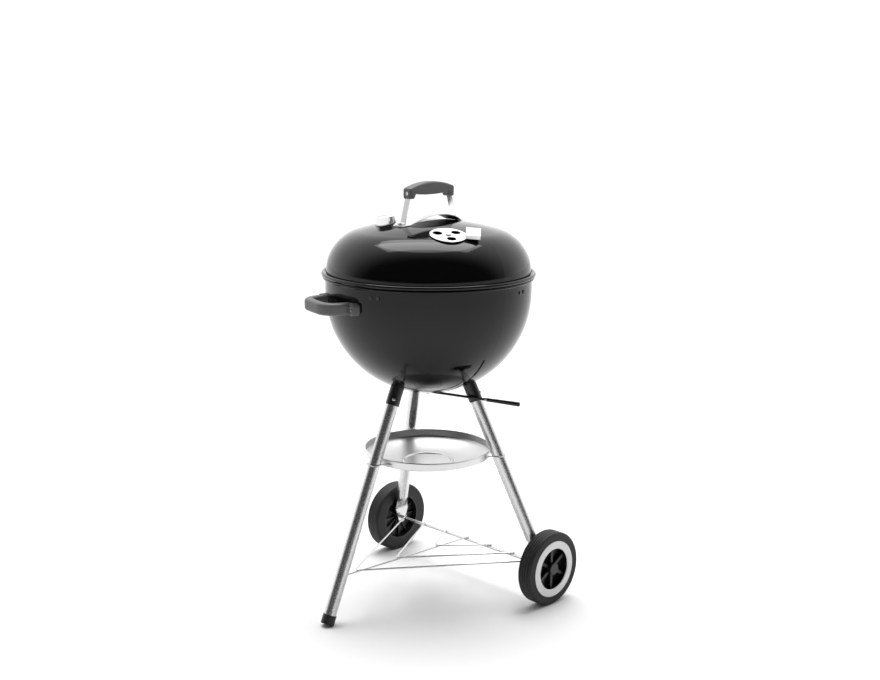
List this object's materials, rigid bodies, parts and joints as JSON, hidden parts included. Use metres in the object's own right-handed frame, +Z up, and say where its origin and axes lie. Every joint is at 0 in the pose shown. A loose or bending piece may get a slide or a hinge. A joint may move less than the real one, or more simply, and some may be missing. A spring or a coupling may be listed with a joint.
{
  "type": "kettle charcoal grill",
  "caption": "Round covered charcoal grill on tube legs with wheels, lid damper, thermometer, ash sweep lever and ash dish, wire shelf.",
  "frame": {"origin": "on the floor, in the middle of the grill's bounding box", "axes": "+Z up, X along the wheel axle, +Y from the foot leg towards the axle"},
  "size_m": [0.551, 0.571, 0.97],
  "materials": {
    "enamel": "gloss black porcelain enamel",
    "black_paint": "satin black paint",
    "sheet_aluminium": "brushed",
    "tube_aluminium": "satin",
    "strap_steel": "bright plated",
    "handle_plastic": "fine grained grey",
    "black_plastic": "satin black",
    "zinc_steel": "zinc plated",
    "plated_wire": "bright plated",
    "bezel_chrome": "polished",
    "dial_face": "matte white",
    "needle_paint": "satin",
    "lens_glass": "clear",
    "tyre_black": "satin moulded",
    "whitewall": "satin",
    "hub_black": "satin moulded"
  },
  "bodies": {
    "stand": {"bowl_shell": "enamel", "grate_brackets": "zinc_steel", "grate_bracket_rivets": "black_paint", "side_handle_grip": "handle_plastic", "side_handle_screws": "zinc_steel", "side_handle_nuts": "zinc_steel", "leg_socket_front": "black_paint", "leg_socket_right": "black_paint", "leg_socket_left": "black_paint", "leg_front": "tube_aluminium", "leg_right": "tube_aluminium", "leg_left": "tube_aluminium", "foot_cap": "black_plastic", "leg_spring_front": "zinc_steel", "leg_spring_right": "zinc_steel", "leg_spring_left": "zinc_steel", "axle": "zinc_steel", "axle_push_nuts": "zinc_steel", "shelf_back_bar": "plated_wire", "shelf_spine": "plated_wire", "shelf_outer_wire": "plated_wire", "shelf_middle_wire": "plated_wire", "shelf_inner_wire": "plated_wire", "ash_catcher_clips": "zinc_steel"},
    "lid": {"lid_shell": "enamel", "lid_heat_shield": "sheet_aluminium", "lid_strap_front": "strap_steel", "lid_strap_rear": "strap_steel", "lid_handle_grip": "handle_plastic", "lid_grip_screws": "zinc_steel", "lid_strap_bolts": "zinc_steel", "lid_strap_nuts": "zinc_steel", "lid_damper_rivet": "zinc_steel", "thermometer_bezel": "bezel_chrome", "thermometer_dial": "dial_face", "thermometer_lens": "lens_glass", "thermometer_stem": "zinc_steel", "thermometer_nut": "zinc_steel"},
    "lid_damper": {"lid_damper_disc": "sheet_aluminium"},
    "gauge_needle": {"thermometer_needle": "needle_paint"},
    "ash_lever": {"ash_lever": "black_paint", "ash_sweeper": "zinc_steel", "ash_lever_ferrule": "zinc_steel", "ash_lever_grip": "black_plastic", "ash_lever_nuts": "zinc_steel"},
    "cooking_grate": {"cooking_grate": "plated_wire"},
    "charcoal_grate": {"charcoal_grate": "plated_wire"},
    "ash_catcher": {"ash_catcher": "sheet_aluminium"},
    "wheel_right": {"wheel_tyre_right": "tyre_black", "wheel_trim_right": "whitewall", "wheel_hub_right": "hub_black", "wheel_cap_right": "hub_black"},
    "wheel_left": {"wheel_tyre_left": "tyre_black", "wheel_trim_left": "whitewall", "wheel_hub_left": "hub_black", "wheel_cap_left": "hub_black"},
    "button_front": {"leg_button_front": "zinc_steel"},
    "button_right": {"leg_button_right": "zinc_steel"},
    "button_left": {"leg_button_left": "zinc_steel"}
  },
  "joints": [
    {"name": "lid_lift", "type": "slide", "parent": "stand", "child": "lid", "axis": [0, 0, 1], "range_m": [0, 0.35]},
    {"name": "damper_turn", "type": "hinge", "parent": "lid", "child": "lid_damper", "pos_m": [0.12803, -0.02656, 0.86505], "axis": [0.2171, -0.1154, 0.9693], "range_deg": [0, 60]},
    {"name": "needle_turn", "type": "hinge", "parent": "lid", "child": "gauge_needle", "pos_m": [-0.05649, -0.0416, 0.88975], "axis": [-0.0934, -0.1374, 0.9861], "range_deg": [-250, 0], "stiffness_Nm_per_rad": 0.0005},
    {"name": "lever_sweep", "type": "hinge", "parent": "stand", "child": "ash_lever", "pos_m": [0, 0.04152, 0.484], "axis": [0, 0, 1], "range_deg": [-80, 0]},
    {"name": "cooking_grate_lift", "type": "slide", "parent": "stand", "child": "cooking_grate", "axis": [0, 0, 1], "range_m": [0, 0.03]},
    {"name": "charcoal_grate_lift", "type": "slide", "parent": "stand", "child": "charcoal_grate", "axis": [0, 0, 1], "range_m": [0, 0.1]},
    {"name": "ash_catcher_drop", "type": "slide", "parent": "stand", "child": "ash_catcher", "axis": [0, 0, 1], "range_m": [-0.12, 0]},
    {"name": "wheel_right_spin", "type": "hinge", "parent": "stand", "child": "wheel_right", "pos_m": [0, 0.18232, 0.086], "axis": [1, 0, 0], "continuous": true},
    {"name": "wheel_left_spin", "type": "hinge", "parent": "stand", "child": "wheel_left", "pos_m": [0, 0.18232, 0.086], "axis": [1, 0, 0], "continuous": true},
    {"name": "button_front_press", "type": "slide", "parent": "stand", "child": "button_front", "axis": [-0.7071, 0.6507, -0.2769], "range_m": [0, 0.004], "stiffness_N_per_m": 1500, "deforming": ["leg_spring_front"]},
    {"name": "button_right_press", "type": "slide", "parent": "stand", "child": "button_right", "axis": [-0.2099, -0.9377, -0.2769], "range_m": [0, 0.004], "stiffness_N_per_m": 1500, "deforming": ["leg_spring_right"]},
    {"name": "button_left_press", "type": "slide", "parent": "stand", "child": "button_left", "axis": [0.917, 0.287, -0.2769], "range_m": [0, 0.004], "stiffness_N_per_m": 1500, "deforming": ["leg_spring_left"]}
  ]
}
